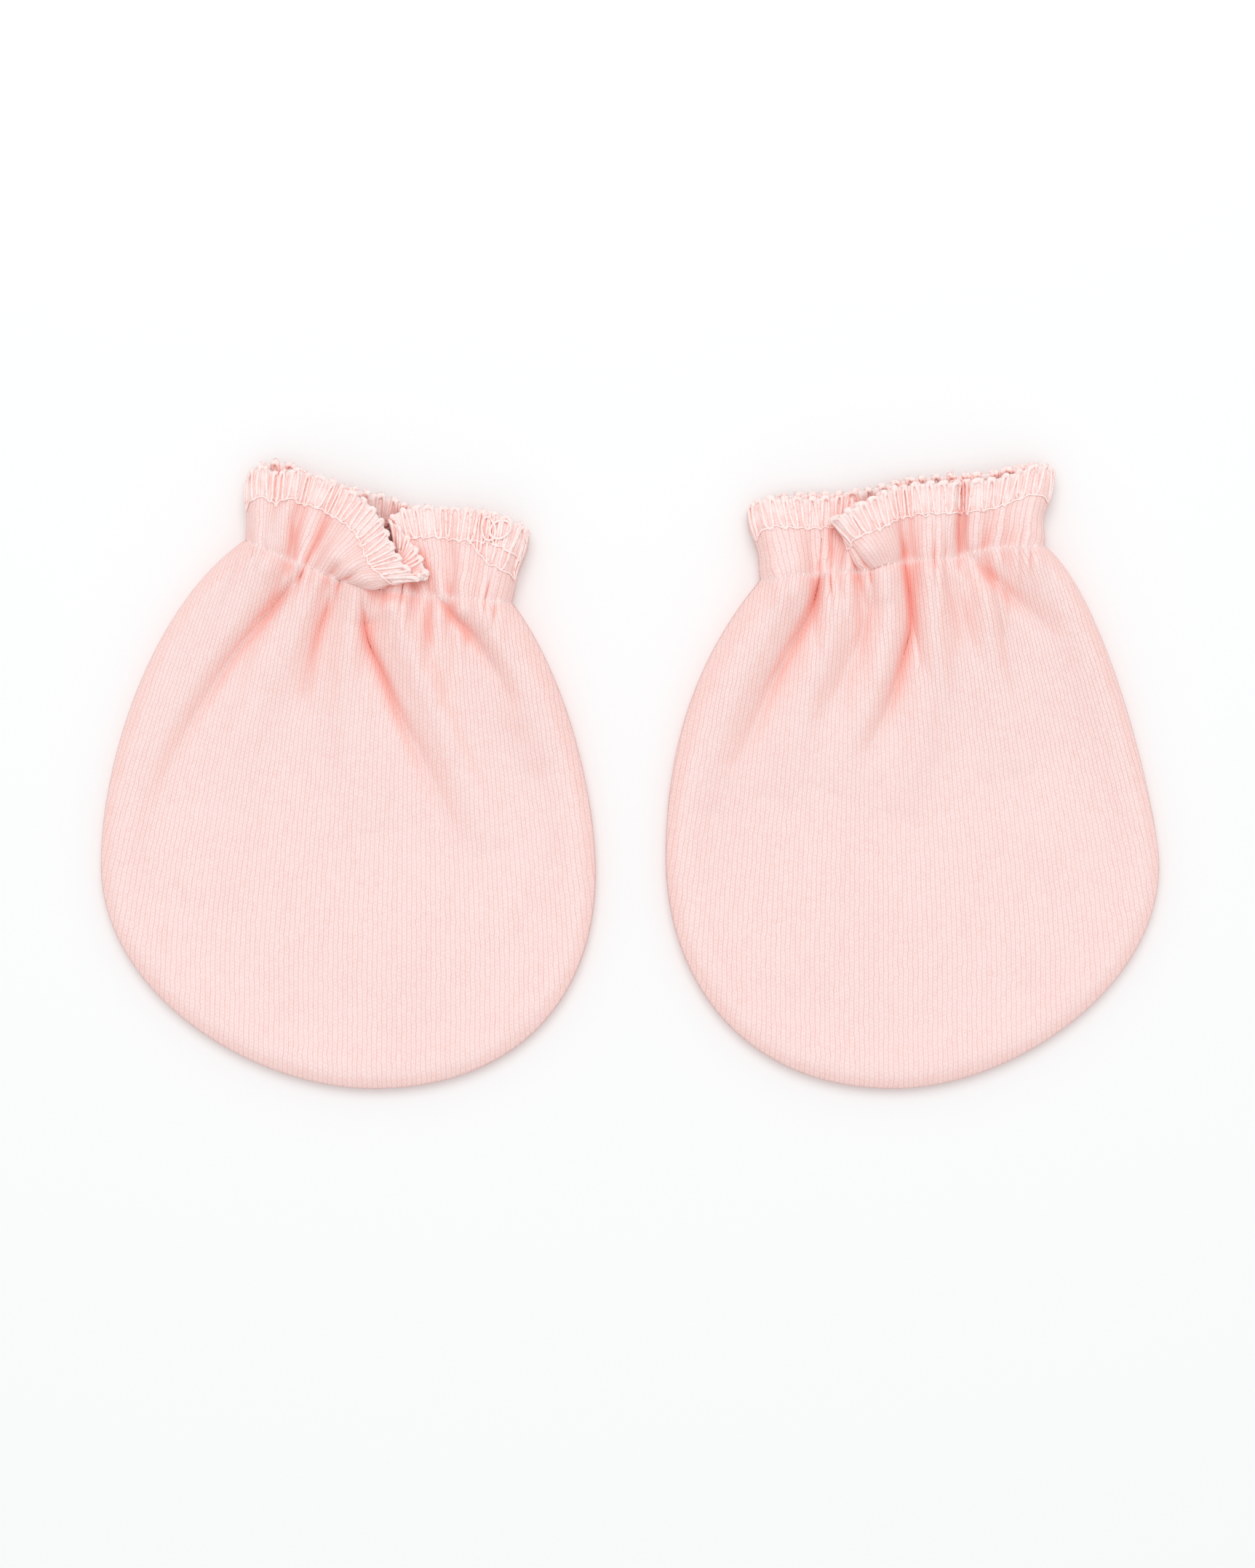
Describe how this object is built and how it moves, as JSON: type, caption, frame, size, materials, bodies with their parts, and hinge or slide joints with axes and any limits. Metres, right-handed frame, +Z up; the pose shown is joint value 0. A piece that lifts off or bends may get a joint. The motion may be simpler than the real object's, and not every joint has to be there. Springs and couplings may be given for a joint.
{
  "type": "pair of baby scratch mittens",
  "caption": "Newborn scratch mittens in soft pink knit, each a flat round pouch gathered near the cuff under a short ruffle, laid side by side.",
  "frame": {"origin": "on the surface that the mittens lie on, midway between them and midway from fingertips to cuffs", "axes": "+X from the left mitten to the right one as seen from above, +Y from the fingertips to the cuffs, +Z up"},
  "size_m": [0.1803, 0.1074, 0.0102],
  "materials": {
    "pink_knit": "soft matt brushed cotton interlock",
    "edge_thread": "soft fluffy overlock thread"
  },
  "bodies": {
    "root": {"left_mitten_front": "pink_knit", "left_mitten_back": "pink_knit", "right_mitten_front": "pink_knit", "right_mitten_back": "pink_knit"}
  },
  "joints": []
}
